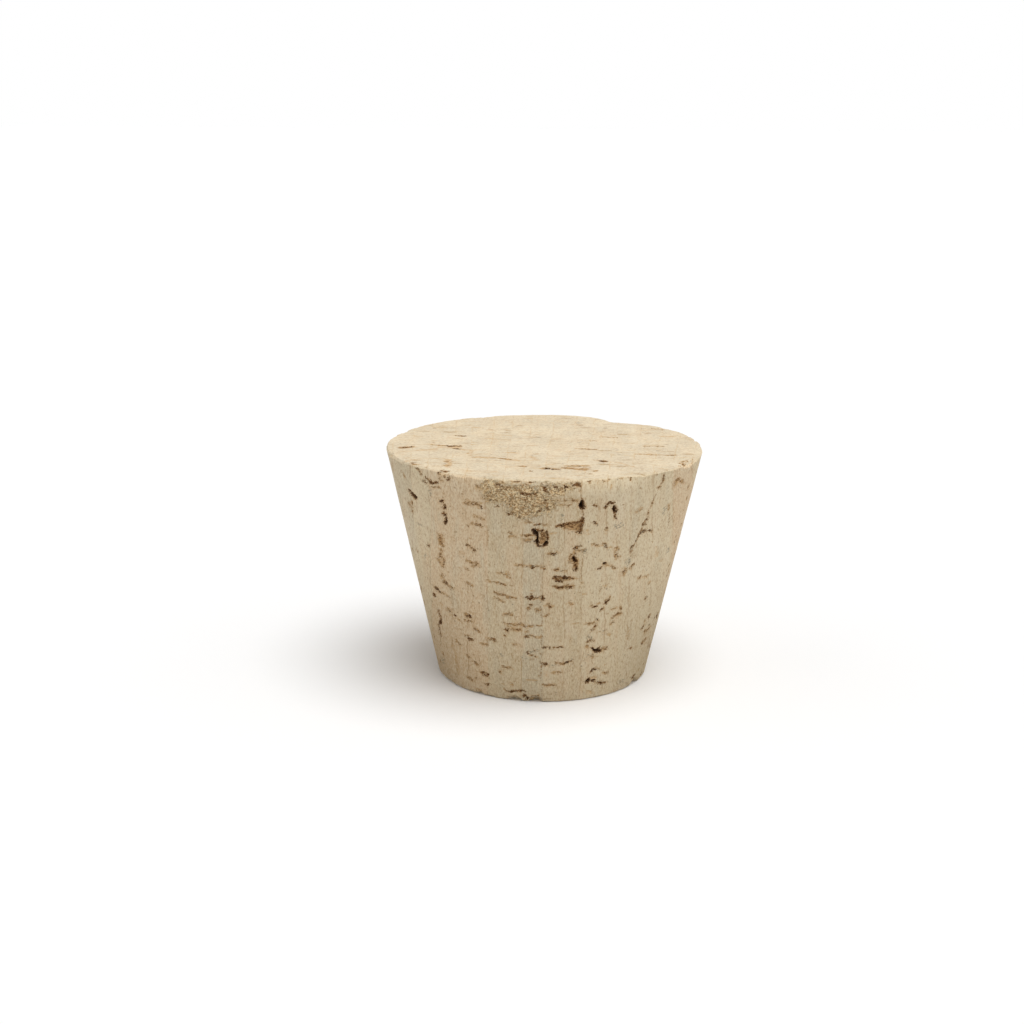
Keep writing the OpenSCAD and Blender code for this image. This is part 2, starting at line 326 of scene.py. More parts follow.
# %% Brown strokes
BROWNS = [
    [-20,1950,35, 0,1910,60, -10,1860,50], [-1045,1790,25, -1035,1690,35], [-1050,1630,10, -1040,1560,20],
    [-140,2470,10, -110,2495,20], [-485,2455,10, -395,2455,15], [130,2295,10, 330,2295,15],
    [150,2245,10, 270,2245,10], [-210,1915,15, -150,1915,30, -90,1915,25], [-190,1860,10, -110,1860,15],
    [-340,1890,10, -300,1895,15, -260,1885,10], [-340,1940,15, -320,1930,10], [-180,2060,10, -120,2060,12],
    [30,2040,10, -30,2050,12], [-1050,2430,15, -1010,2400,10], [-1140,2315,15, -1050,2315,15],
    [-760,2240,10, -700,2220,15, -620,2190,20], [-790,2200,12, -700,2190,15], [-690,2075,12, -580,2055,15],
    [-730,1995,12, -615,1985,20], [-670,2415,15, -630,2405,20], [-590,2275,12, -530,2270,12],
    [-1390,2020,20, -1360,2000,15], [-1350,1950,20], [-770,1740,25, -730,1725,12, -685,1695,25],
    [920,2100,12, 980,2120,15], [-760,1560,12, -730,1555,22, -700,1540,12], [1340,2330,15, 1370,2345,15],
    [-675,1555,12, -660,1540,25, -675,1510,12, -710,1510,12], [-780,1485,12, -760,1470,15],
    [-775,1300,18, -725,1290,18],
    [-1060,1530,12, -1030,1540,15, -1015,1510,15, -1010,1460,20, -1030,1420,15],
    [-1080,1500,12, -1075,1470,15, -1050,1440,12], [-1040,1330,15, -1035,1290,15],
    [-1020,1260,12, -990,1230,25, -930,1200,18], [-1090,1110,12, -1010,1110,10], [-980,1090,15],
    [-995,935,12, -950,905,12], [-880,860,10, -820,810,12], [-800,940,18, -775,920,25, -750,925,30],
    [-790,865,20, -740,865,20], [-710,785,28, -660,760,22], [-465,1490,10, -400,1480,10],
    [-370,1485,12, -355,1455,20, -320,1435,18], [-560,1365,10, -460,1365,12], [-460,1365,12, -390,1340,20],
    [-490,1255,12, -430,1235,18, -280,1212,20], [-480,1190,10, -395,1165,20], [-385,1015,20, -305,1015,15],
    [-270,1585,15, -220,1580,18, -160,1570,12], [-130,1580,15, -90,1565,30],
    [-70,1565,20, -30,1565,12, 15,1560,20], [120,1540,25, 140,1545,30], [170,1525,12, 240,1520,10],
    [50,1715,10, 100,1720,18, 145,1735,12], [315,1750,12, 360,1745,15, 410,1750,20],
    [260,1630,18, 290,1635,12], [280,1710,20, 275,1660,18], [310,1730,15, 320,1620,50, 330,1520,25],
    [110,1442,35, 200,1440,50, 280,1440,30], [110,1345,20, 160,1342,45],
    [160,1342,40, 260,1348,42, 320,1345,20], [400,1385,20], [-110,1245,20, -100,1210,20],
    [-70,1230,15, -20,1225,20, 5,1225,20], [-135,1095,25], [-60,1080,20, -10,1080,12],
    [65,1140,18, 75,1110,32], [65,1050,10, 35,1010,15], [280,1140,20, 300,1135,30],
    [-395,910,12, -290,905,12, -140,900,18, -5,905,12], [-355,835,25, -330,865,12],
    [-310,845,12, -270,845,20, -230,850,12], [-175,835,12, -150,845,10],
    [-160,770,25, -100,775,15, -20,775,10], [495,1800,15, 540,1800,12],
    [590,1795,15, 620,1785,20, 625,1765,25], [730,1730,12, 750,1745,12, 765,1720,18, 745,1705,10],
    [730,1670,15, 740,1660,25], [750,1625,12, 775,1630,12], [640,1560,12, 690,1540,15, 730,1515,20],
    [570,1520,25, 595,1540,15], [830,1485,12, 815,1460,18, 820,1430,18], [845,1480,10, 840,1440,12],
    [895,1480,15, 920,1500,22], [1005,1360,12, 990,1340,18, 1000,1315,12], [1075,1325,15],
    [1110,1230,15, 1120,1245,15], [690,1185,10, 670,1170,15], [800,1015,20, 805,1045,12, 815,1020,20],
    [725,1030,12, 745,1040,15], [720,940,20, 760,950,25, 800,960,28, 820,965,12], [710,865,20, 745,875,12],
    [450,910,10, 475,900,20, 530,910,12], [540,900,12, 535,860,18, 510,830,30], [1085,770,20],
    [1075,725,12, 1060,695,28], [1135,640,12, 1120,610,22], [460,650,20, 475,630,25],
    [620,560,20, 660,580,20, 680,600,10], [510,520,12, 535,530,12, 540,505,22], [930,490,20],
    [-765,680,20], [-800,675,18], [-910,595,10, -890,570,15, -860,545,12],
    [-650,640,10, -600,630,15, -570,620,10], [-570,710,12, -540,705,10],
    [-495,690,10, -480,675,20, -460,670,10], [-295,675,12, -260,675,25], [-775,430,20, -760,430,20],
    [-710,380,18, -680,365,22, -660,350,12], [-400,395,18, -350,385,18, -315,380,10],
    [-445,335,12, -425,325,20], [-765,160,18, -740,150,20], [-695,185,22], [-380,115,10, -330,110,15],
    [-315,190,20], [110,355,10, 160,365,10, 195,360,18], [5,205,12, 80,205,18, 150,210,10],
    [650,295,10, 680,280,20, 700,290,10], [-120,55,12, -70,65,22, -45,70,15], [145,475,15, 160,465,18],
    [195,460,18, 240,465,20, 300,485,20], [-130,565,12, -50,552,12], [520,2480,15], [590,2475,20],
    [640,2485,15], [440,2480,20], [760,2480,15], [1330,2280,12, 1335,2340,25, 1370,2350,25, 1390,2320,15],
    [1410,2290,12, 1420,2330,20], [220,2010,30, 300,2000,70], [300,2005,60, 350,2000,90],
    [1270,2100,10, 1280,2040,12]]
print(len(BROWNS), "brown strokes")

# %% Ochre stains and grey specks
OCHRES = [
    [160,2020,30, 340,2010,130], [-10,1940,50, 0,1900,70], [-190,1920,30, -110,1910,50],
    [440,1960,30, 440,1920,35], [640,1970,25, 640,1910,25], [665,2420,25, 665,2400,30],
    [-1040,1790,40, -1035,1700,50], [-1040,1630,25, -1030,1580,35], [-1060,1490,50, -1030,1450,60],
    [-850,1640,25, -790,1640,30], [630,1560,30, 720,1540,35], [340,1640,50, 350,1560,40],
    [300,1440,30, 380,1440,10], [240,1150,20, 300,1150,30], [-330,860,40, -220,860,40],
    [-150,775,25, -20,775,15], [-750,975,12, -690,965,12], [500,245,40, 570,240,40],
    [510,270,15, 590,260,12], [490,90,50, 530,70,50], [10,370,10, 50,365,15, 75,340,12, 50,320,10],
    [1010,1330,25, 1070,1330,22], [1170,1650,20, 1170,1520,30], [1200,1450,20, 1240,1460,25],
    [1340,2290,35, 1360,2330,50], [-940,500,20, -900,340,40, -880,200,20], [-900,280,30, -890,160,30],
    [895,790,10, 895,630,12], [920,730,10, 915,590,10], [-690,45,25, -660,45,25],
    [-1065,980,25, -1060,950,25], [-680,2390,30, -580,2360,40], [650,590,35], [620,1320,25, 670,1330,25],
    [450,690,20, 460,630,30]]
GREYS = [
    [470,740,35, 495,725,40], [460,520,30, 500,525,25], [875,1580,30, 850,1540,40],
    [845,1540,30, 845,1510,20], [-150,590,30, -90,605,15, -40,610,25], [35,2440,30, 50,2380,40],
    [190,2140,15, 190,2100,20], [640,785,20, 640,760,20], [730,1980,30, 770,1980,30],
    [1240,2070,25, 1240,2030,25], [1310,1560,20, 1310,1520,25], [-1145,2280,12, -1145,2210,15],
    [420,1740,30, 410,1720,30], [-1290,1830,12, -1260,1830,12], [-430,540,20, -415,530,20], [-165,510,15],
    [-1210,1490,15, -1230,1460,15], [-1060,240,30, -1060,200,30], [830,120,30, 860,110,20],
    [-210,540,10, -180,580,10], [80,450,8, 120,445,8], [305,520,15, 305,500,15], [-1190,90,20]]
print(len(OCHRES), "stains and", len(GREYS), "grey specks")

# %% Marks of the large end, as points of x, y and width
HEAD_PITS = [
    [-20,-1140,30, 20,-1120,70, 70,-1150,50]]
HEAD_DARKS = [
    [-970,440,30, -880,430,55], [-1060,-100,30, -990,-110,45, -900,-110,30], [-950,-200,30, -910,-240,40],
    [-1530,-210,35, -1420,-160,40], [580,-750,30, 615,-770,70], [-130,-1250,30],
    [100,-1160,30, 160,-1180,20], [-1020,-1260,20, -960,-1310,30], [-1180,-1160,20]]
HEAD_BROWNS = [
    [230,-995,35, 450,-990,40], [180,-1080,35, 430,-1160,50], [390,-1090,30, 450,-1070,30],
    [1400,-820,35, 1480,-810,35], [1460,-1160,40, 1410,-1180,35, 1380,-1040,30], [1450,-960,50],
    [1490,-1060,40], [1560,-630,30, 1600,-600,30], [320,-180,15, 540,-190,40], [370,220,15, 570,240,35],
    [1060,-20,30, 1270,-10,30], [970,-430,15, 1360,-450,40], [640,470,30, 700,430,20, 800,410,30],
    [-260,-1030,40, -180,-1050,30], [1230,940,30, 1350,900,30], [-1000,-860,40], [-950,-880,30],
    [-1000,-1020,40, -950,-1020,30], [-800,-460,35], [-760,-560,30], [-740,-640,35], [520,-1210,60],
    [460,-1340,40], [-460,-670,20, -340,-720,40], [1400,-760,30, 1490,-700,30],
    [1390,-940,30, 1420,-1020,40], [-90,-460,50], [-1220,-60,20, -1060,-100,30],
    [-1340,-960,35, -1280,-1020,30], [670,760,30]]
HEAD_OCHRES = [
    [-1510,-420,35, -1340,-340,30, -1140,-260,50], [-900,-250,50, -770,-310,40, -750,-460,40],
    [230,-990,70, 440,-990,70], [180,-1090,50, 430,-1150,70], [1430,-990,160, 1430,-1090,120],
    [-1100,-170,80, -900,-170,80], [-1520,-220,60, -1390,-180,60], [-90,1520,12, -80,800,12],
    [700,1000,12, 640,620,12, 600,200,10], [-1470,-860,40, -1280,-780,30], [-1460,-940,30, -1380,-880,40],
    [-710,-640,60, -450,-680,60, -210,-800,35], [-760,-1270,40, -480,-1280,35],
    [950,-400,50, 1150,-420,40], [1250,510,40, 1440,510,40], [-660,290,40, -530,280,40],
    [-230,410,30, -100,400,30], [-1040,330,30, -890,260,40], [110,-250,30, 240,-260,30],
    [740,-810,30, 910,-1010,30], [510,-730,40, 590,-750,40], [330,290,30, 550,290,30],
    [-630,760,40, -540,760,40], [-420,-400,30, -260,-420,30], [-380,-1080,30, 100,-960,30],
    [1080,-160,30, 1240,-180,30], [-140,-580,60, -80,-720,40], [-990,-760,60, -960,-1100,60],
    [860,120,30, 980,120,30]]
print(len(HEAD_BROWNS) + len(HEAD_DARKS) + len(HEAD_OCHRES), "strokes on the large end")

# %% [markdown]
# ## Cracks
#
# Two cracks run down the right of the front, and one down the left. A crack is a pen stroke too, but
# long and thin. Noise opens and closes it. Fainter ones follow the growth rings.

# %% Cracks of the front
CRACKS = [
    [1210,2460,20, 1200,2410,10, 1170,2330,14, 1130,2240,8, 1090,2160,16, 1060,2090,14, 1055,2020,10,
     1020,1970,18, 1010,1910,16, 1000,1875,10, 960,1845,22, 950,1800,20, 935,1750,12, 910,1710,20,
     885,1660,14, 890,1600,12], [1000,1875,12, 1015,1865,28, 1060,1855,12, 1105,1840,28],
    [-1100,890,10, -1090,830,20, -1065,780,26, -1075,720,30, -1095,670,16, -1090,630,16, -1085,570,22,
     -1085,520,10], [310,2460,14, 340,2450,16, 360,2410,10, 365,2370,12, 375,2270,10],
    [400,2190,10, 395,2130,12, 390,2080,10]]
FAINT_CRACKS = [
    [1270,2100,10, 1300,1950,10, 1290,1820,12, 1310,1700,10], [330,540,10, 320,340,10, 310,140,10],
    [-1085,500,10, -1090,380,10], [-10,1200,10, -10,800,10, -10,400,12, -5,80,10],
    [610,1460,10, 580,1260,10, 570,1080,10], [395,1700,10, 395,1280,10], [-830,810,10, -815,720,10]]
print(len(CRACKS), "cracks and", len(FAINT_CRACKS), "faint ones")

# %% [markdown]
# ## Marks of the sides that face away
#
# The left, the right, the back and the small end carry the same kinds of marks, scattered. Their
# places come from the same seeded numbers as the solid's, so each lies where the solid has one.

# %% Scatter the far marks
FAR_FROM, FAR_TO = 66, 290
FAR_CHANNELS, FAR_LENGTH, FAR_WIDTH = 42, 3.2, 0.9
FAR_PORES, PORE_WIDTH, PORE_TALL, PORE_DEPTH = 12, 1.1, 1.8, 0.9
FOOT_CHANNELS, FOOT_LENGTH, FOOT_WIDTH = 12, 2.4, 0.4


def side_place(turn, z):
    """Place on the side at a turn in degrees and a height z."""
    return on_circle(np.radians(turn), SMALL_R + (LARGE_R - SMALL_R) * z / HEIGHT, z)


def egg(place, size, depth):
    """Rows of egg-shaped marks: the centre, the three half sizes, and the depth of each."""
    depth = np.broadcast_to(np.reshape(depth, (-1, 1)), (len(place), 1))
    return np.hstack([place, np.stack(np.broadcast_arrays(*size), axis=-1) / 2, depth])


sizes = seeded(0.35, 1, FAR_CHANNELS, 9)
places = side_place(seeded(FAR_FROM, FAR_TO, FAR_CHANNELS, 7),
                    HEIGHT * seeded(0.06, 0.94, FAR_CHANNELS, 8))
widths = FAR_WIDTH * sizes**2
far_channels = egg(places, (FAR_LENGTH * sizes, widths, widths), widths / 2)
sizes = seeded(0.35, 1, FAR_PORES, 12)
places = side_place(seeded(FAR_FROM, FAR_TO, FAR_PORES, 10), HEIGHT * seeded(0.12, 0.88, FAR_PORES, 11))
widths = PORE_WIDTH * sizes
far_pores = egg(places, (widths, widths, PORE_TALL * sizes), PORE_DEPTH * sizes)
sizes = seeded(0.35, 1, FOOT_CHANNELS, 23)
reach = SMALL_R * np.sqrt(seeded(0.05, 0.8, FOOT_CHANNELS, 22))
places = on_circle(np.radians(seeded(0, 360, FOOT_CHANNELS, 21)), reach, 0.0)
widths = FOOT_WIDTH * sizes
foot_channels = egg(places, (FOOT_LENGTH * sizes, widths, widths), widths / 2)
print(len(far_channels), "channels and", len(far_pores), "pores on the far side")

# %% Scatter the smaller far marks, which are too shallow for the solid
SMALL_FROM, SMALL_TO, SMALL_MARGIN = 58, 302, 0.4
rng = np.random.default_rng(5)


def far_scatter(count, longest, thickest, depth):
    """Shallow marks along X, spread over the far side. Their length falls off from the longest by
    the square of a random number, and none is thinner than a third of the thickest."""
    turn = rng.uniform(SMALL_FROM, SMALL_TO, count)
    places = side_place(turn, rng.uniform(SMALL_MARGIN, HEIGHT - SMALL_MARGIN, count))
    length = longest * (0.15 + 0.85 * rng.uniform(0, 1, count) ** 2)
    thick = thickest * rng.uniform(0.35, 1, count)
    return egg(places, (length, thick, thick), depth)


far_small = far_scatter(150, 2.6, 0.5, 0.15)
far_dashes = far_scatter(90, 2.4, 0.22, 0.1)
print(len(far_small), "small channels and", len(far_dashes), "dashes on the far side")

# %% [markdown]
# ## From marks to fields
#
# For each kind of mark we want one number at every point of the skin: how deep inside the nearest
# mark of that kind it lies, in millimetres. It is negative outside, and kept from OUTSIDE to INSIDE.
# The finish reads this number, and the push is worked out from it. The places are bent by noise
# first, so no outline is smooth. To save time, only points within EGG_REACH or STROKE_REACH mm of a
# mark are worked out.

# %% How deep a point lies inside the marks
OUTSIDE, INSIDE = -0.6, 0.6
EGG_REACH, STROKE_REACH = 0.7, 0.8
FRONT, HEAD = (0, 2), (0, 1)
bent = skin + np.stack([
    0.16 * bark_noise(skin, 1.8, seed) + 0.07 * bark_noise(skin, 4.5, seed + 1)
    for seed in (31, 41, 51)], axis=-1)


def inside_eggs(eggs, slope):
    """Two arrays. The first is the deepest k0 (1 - k0) / k1, with k0 = |p / r| and k1 = |p / r^2|:
    nearly the distance in from an egg's wall. The second is the push, slope times that distance,
    no more than the egg's depth."""
    field = np.full(len(skin), OUTSIDE)
    push = np.zeros(len(skin))
    for *centre, rx, ry, rz, depth in eggs:
        half = np.array([rx, ry, rz])
        near = np.flatnonzero((np.abs(bent - centre) < half + EGG_REACH).all(axis=1))
        q = bent[near] - centre
        k0 = np.linalg.norm(q / half, axis=1) + 1e-6
        k1 = np.linalg.norm(q / half**2, axis=1) + 1e-6
        within = k0 * (1 - k0) / k1
        field[near] = np.maximum(field[near], within)
        push[near] = np.maximum(push[near], np.clip(slope * within, 0, depth))
    return field, push


def inside_strokes(strokes, slope, depth, axes=FRONT):
    """The same two arrays for pen strokes, on the front in x and z, or on the large end in x and y.
    Between two points of a stroke the field is half the width less the distance to the line."""
    field = np.full(len(skin), OUTSIDE)
    flat = bent[:, axes]
    facing = np.flatnonzero(ON_SIDE & (skin[:, 1] < 0) if axes == FRONT else ON_HEAD)
    for stroke in strokes:
        rows = np.reshape(stroke + stroke[-3:], (-1, 3)) / 100
        for (*start, wide), (*end, wide_end) in zip(rows[:-1], rows[1:]):
            way = np.subtract(end, start)
            box = STROKE_REACH + np.abs(way)
            near = facing[(np.abs(flat[facing] - start) < box).all(axis=1)]
            along = np.clip((flat[near] - start) @ way / (way @ way + 1e-9), 0, 1)
            gap = np.linalg.norm(flat[near] - start - along[:, None] * way, axis=1)
            half = (wide + (wide_end - wide) * along) / 2
            field[near] = np.maximum(field[near], half - gap)
    return field, np.clip(slope * field, 0, depth)


print("the places are bent by up to", np.abs(bent - skin).max().round(2), "mm")

# %% One field and one push for each kind of mark
faint, faint_push = inside_strokes(FAINT_CRACKS, 1.0, 0.05)
found = {
    "pore": [inside_strokes(PITS, 4.5, 1.4), inside_strokes(HEAD_PITS, 3.0, 1.0, HEAD),
             inside_eggs(far_pores, 4.0)],
    "dark": [inside_strokes(DARKS, 2.5, 0.35), inside_strokes(HEAD_DARKS, 1.0, 0.2, HEAD),
             inside_eggs(far_dashes, 2.0)],
    "brown": [inside_strokes(BROWNS, 1.2, 0.2), inside_strokes(HEAD_BROWNS, 0.6, 0.15, HEAD),
              inside_eggs(np.vstack([far_channels, foot_channels, far_small]), 1.2)],
    "ochre": [inside_strokes(OCHRES, 0.3, 0.1), inside_strokes(HEAD_OCHRES, 0.2, 0.05, HEAD)],
    "grey": [inside_strokes(GREYS, 0.3, 0.05)],
    "crack": [inside_strokes(CRACKS, 3.0, 0.3), (faint - 0.05, faint_push)],
}
fields = {kind: np.max([field for field, push in pairs], axis=0) for kind, pairs in found.items()}
fields["crack"] += 0.05 * bark_noise(skin, 1.3, 61)
pushes = [push for pairs in found.values() for field, push in pairs]
print({kind: int((field > 0).sum()) for kind, field in fields.items()}, "points inside")

# %% [markdown]
# ## The crumbled patch and the chips
#
# Under the large rim, left of the front, the bark is coarse and its grains have fallen out. There
# the skin sinks by a third of a millimetre, and a grainy noise makes it rough. The rims are chipped
# in a few places: a chip is a ball whose centre lies outside, and the skin is pushed to its far wall.

# %% Crumbled patch, as eggs of x, z, length, height and depth
PATCH = [(-3.0, 23.4, 6.4, 2.2, 0.3), (-1.2, 22.5, 5.0, 2.4, 0.3), (-2.0, 21.6, 3.2, 1.4, 0.25),
         (0.8, 24.0, 3.2, 1.2, 0.25), (-5.2, 24.0, 2.4, 1.6, 0.25), (2.2, 24.2, 1.6, 0.9, 0.15)]
THROUGH = 12.0
x, z, length, tall, depth = np.transpose(PATCH)
places = np.stack([x, -np.sqrt(cone_radius(z) ** 2 - x**2), z], axis=-1)
crumble, crumble_push = inside_eggs(egg(places, (length, THROUGH, tall), depth), 1.5)
crumble[~ON_SIDE] = OUTSIDE
crumble_push[~ON_SIDE] = 0
grains = 0.5 + 0.5 * bark_noise(skin, 3.0, 71) * 1.4
grains = np.clip(grains + 0.5 * bark_noise(skin, 6.0, 72), 0, 1.4)
fields["crumble"] = crumble
pushes.append(crumble_push * (0.15 + 0.6 * grains))
print("points inside the crumbled patch:", (crumble > 0).sum())

# %% Chips of both rims, as turn in degrees, width and depth
HEAD_CHIPS = [(20, 3, 0.3), (8, 1.6, 0.2), (-37, 2.8, 0.5), (-74, 1.6, 0.6), (62, 4.6, 0.5),
              (101, 1.6, 0.5), (205, 3, 0.4), (248, 2.2, 0.4)]
FOOT_CHIPS = [(-14.5, 1.8, 0.6), (-3.5, 1.5, 0.65), (60, 2, 0.6), (132, 2, 0.3), (222, 2.6, 0.4)]


def chip_push(chips, rim_r, rim_z, side):
    """Push to the far wall of each ball: with q the point less the centre and w the way in, it is
    -q.w + sqrt((q.w)^2 - q.q + R^2), for points inside the ball."""
    push = np.zeros(len(skin))
    for turn, width, depth in chips:
        ball = (width**2 / 4 + depth**2) / (2 * depth)
        off = (ball - depth) * math.sin(math.pi / 4)
        q = bent - on_circle(math.radians(turn), rim_r + off, rim_z + side * off)
        inner = ball**2 - (q * q).sum(axis=1)
        along = (q * way_in).sum(axis=1)
        far = -along + np.sqrt(np.clip(along**2 + inner, 0, None))
        push = np.where(inner > 0, np.maximum(push, np.clip(far, 0, 2 * depth)), push)
    return push


pushes += [chip_push(HEAD_CHIPS, LARGE_R, HEIGHT, 1), chip_push(FOOT_CHIPS, SMALL_R, 0.0, -1)]
print("deepest chip:", np.max(pushes[-2:]).round(2), "mm")

# %% [markdown]
# ## Push the skin in
#
# The pushes are not added up: a point takes the deepest one. A faint unevenness comes last. All
# of it goes inwards, so the skin can't leave the solid.

# %% Push and measure
WAVY, FINE = 0.03, 0.02
push = np.max(pushes, axis=0)
wavy = 0.5 + 0.5 * bark_noise(skin, 0.35, 81)
fine = 0.5 + 0.5 * bark_noise(skin * [1.0, 0.4, 0.4], 3.0, 82)
push += WAVY * wavy + FINE * fine
pushed = skin + way_in * push[:, None]
print("deepest push:", push.max().round(2), "mm")
print("box in mm:", pushed.min(axis=0).round(3), pushed.max(axis=0).round(3))

# %% [markdown]
# ## Make the piece
#
# The arrays go straight into a Blender mesh. Each field becomes an attribute of the points, under
# the name that the finish asks for. Then the piece rides on the one body, and the imported solid
# is hidden.

# %% Build the mesh
mesh = bpy.data.meshes.new("stopper_body")
mesh.from_pydata((pushed * MM).tolist(), [], faces.tolist())
mesh.update()
fields = {kind: np.clip(field, OUTSIDE, INSIDE) for kind, field in fields.items()}
fields.update(depth=push, end_face=(~ON_SIDE).astype(float))
for name, values in fields.items():
    layer = mesh.attributes.new(name, "FLOAT", "POINT")
    layer.data.foreach_set("value", values.astype(np.float32))
stopper = bpy.data.objects.new("stopper_body", mesh)
scene = bpy.context.scene
scene.collection.objects.link(stopper)
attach(stopper, "root")
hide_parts("cork_body")
print("mesh:", len(mesh.vertices), "points and", len(mesh.polygons), "faces")

# %% [markdown]
# ## Colours
#
# A colour is easiest to read as the three numbers 0 to 255 that a screen shows. Blender's sockets
# want light, not screen values, so one function turns the first into the second.

# %% Colours of cut cork
def cork_colour(red, green, blue):
    """Screen values 0 to 255 as linear light: ((v + 0.055) / 1.055)^2.4, or v / 12.92 near black."""
    v = np.array([red, green, blue]) / 255
    linear = np.where(v > 0.04045, ((v + 0.055) / 1.055) ** 2.4, v / 12.92)
    return (*linear.tolist(), 1.0)


CREAM = cork_colour(233, 214, 178)
DUN = cork_colour(224, 203, 166)
PINK = cork_colour(231, 204, 166)
PALE = cork_colour(243, 227, 197)
ASH = cork_colour(219, 203, 171)
END_CREAM = cork_colour(219, 204, 177)
END_STREAK = cork_colour(213, 179, 128)
END_BROWN = cork_colour(182, 143, 90)
OCHRE = cork_colour(212, 173, 122)
BROWN = cork_colour(175, 133, 86)
CRUMB = cork_colour(233, 201, 151)
PALE_FLAKE_AND_HIGHLIGHT = cork_colour(244, 222, 180)
DARK = cork_colour(100, 63, 28)
PORE_SHADE_BLACK = cork_colour(14, 7, 3)
GREY = cork_colour(134, 124, 104)
print("ochre as light:", [round(c, 3) for c in OCHRE[:3]])

# %% [markdown]
# ## Small helpers for node trees
#
# A finish is a graph of nodes. A few short functions keep the graph readable: they place a node, do
# arithmetic, ease a value over a step, mix two colours, and make noise. Each finds the graph from
# the sockets that it is given.

# %% Place a node, feed it, do arithmetic
def put(tree, kind, **settings):
    """Adds a node and sets its options."""
    node = tree.nodes.new(kind)
    for name, value in settings.items():
        setattr(node, name, value)
    return node


def feed(socket, value):
    """Gives a socket its value: a link where the value is another socket, or else a constant."""
    if isinstance(value, bpy.types.NodeSocket):
        socket.id_data.links.new(value, socket)
    else:
        socket.default_value = value


def calc(operation, *values, kind="Math"):
    """One step of arithmetic, on numbers, or on vectors where the kind is VectorMath."""
    tree = next(value.id_data for value in values if isinstance(value, bpy.types.NodeSocket))
    node = put(tree, "ShaderNode" + kind, operation=operation)
    for socket, value in zip(node.inputs, values):
        feed(socket, value)
    return node.outputs[0]


def times(first, *others):
    """The product of all the values."""
    for other in others:
        first = calc("MULTIPLY", first, other)
    return first


def off_middle(value):
    """How far a value is from 0.5, either way."""
    return calc("ABSOLUTE", calc("SUBTRACT", value, 0.5))


print("helpers ready: put, feed, calc, times, off_middle")

# %% Ease, blend and noise
def ease(value, low, high, start=0.0, end=1.0):
    """A smooth step from start to end as the value goes from low to high."""
    node = put(value.id_data, "ShaderNodeMapRange", interpolation_type="SMOOTHSTEP")
    for name, given in (("Value", value), ("From Min", low), ("From Max", high),
                        ("To Min", start), ("To Max", end)):
        feed(node.inputs[name], given)
    return node.outputs["Result"]


def blend(share, first, second, how="MIX"):
    """The first colour where the share is 0 and the second where it is 1, or their product there."""
    node = put(share.id_data, "ShaderNodeMix", data_type="RGBA", blend_type=how)
    feed(node.inputs["Factor"], share)
    colours = [socket for socket in node.inputs if socket.type == "RGBA"]
    feed(colours[0], first)
    feed(colours[1], second)
    return [socket for socket in node.outputs if socket.type == "RGBA"][0]


def stretch(place, along, across):
    """A place in millimetres times one factor along X, and another along Y and Z."""
    return calc("MULTIPLY", place, (along, across, across), kind="VectorMath")


def noise(place, along, across, detail=2.0, roughness=0.5):
    """Smooth noise from 0 to 1, with so many waves to the millimetre along X and across it. So the
    same node makes clouds, upright hatch or streaks along X."""
    node = put(place.id_data, "ShaderNodeTexNoise")
    for name, given in (("Vector", stretch(place, along, across)), ("Scale", 1.0),
                        ("Detail", detail), ("Roughness", roughness)):
        feed(node.inputs[name], given)
    return node.outputs["Fac"]


print("helpers ready: ease, blend, stretch, noise")

# %% Groups of nodes
def new_group(name, inputs, outputs):
    """A group with named sockets: its tree, what it is given, and where its results go."""
    tree = bpy.data.node_groups.new(name, "ShaderNodeTree")
    for way, sockets in (("INPUT", inputs), ("OUTPUT", outputs)):
        for socket, kind in sockets.items():
            tree.interface.new_socket(socket, in_out=way, socket_type="NodeSocket" + kind)
    return tree, put(tree, "NodeGroupInput").outputs, put(tree, "NodeGroupOutput").inputs


def use_group(tree, group, **given):
    """Places a group, feeds its inputs by their names, and returns its outputs."""
    node = put(tree, "ShaderNodeGroup", node_tree=group)
    for name, value in given.items():
        feed(node.inputs[name], value)
    return node.outputs


print("helpers ready: new_group, use_group")

# %% [markdown]
# ## Growth rings
#
# A growth ring is a plane of constant X, a little wavy. The group counts the years along X with a
# curve whose steps are the ring widths. The whole part of the count names the year, and the rest
# says how far through the year we are: the dark line of late growth lies where the rest is near 0.
# A few years are paler, greyer or pinker than the others, as the seasons were. Two noises bend the
# planes, by WAVE and by RIPPLE mm, and from Y = FAN_FROM backwards they fan a little.

# %% Where the rings lie, and the tone of each year
RING_X = [-17.0, -15.3, -13.4, -11.6, -9.3, -7.7, -5.65, -3.9, -2.1, 0.05, 2.2, 3.95, 6.3, 8.6, 10.7,
          12.6, 14.4, 17.0]
YEAR_TONES = [ASH, ASH, CREAM, PINK, PINK, PINK, DUN, DUN, ASH, DUN, DUN, CREAM, CREAM, CREAM, CREAM,
              PINK, CREAM]
YEARS = len(YEAR_TONES)
RING_SPAN = RING_X[-1] - RING_X[0]
LINE_SHARE = 0.045
WAVE, RIPPLE = 0.9, 0.6
FAN, FAN_GROWTH, FAN_FROM = 0.03, 0.006, -14.0
print("growth rings across the large end:", YEARS, "over", RING_SPAN, "mm")

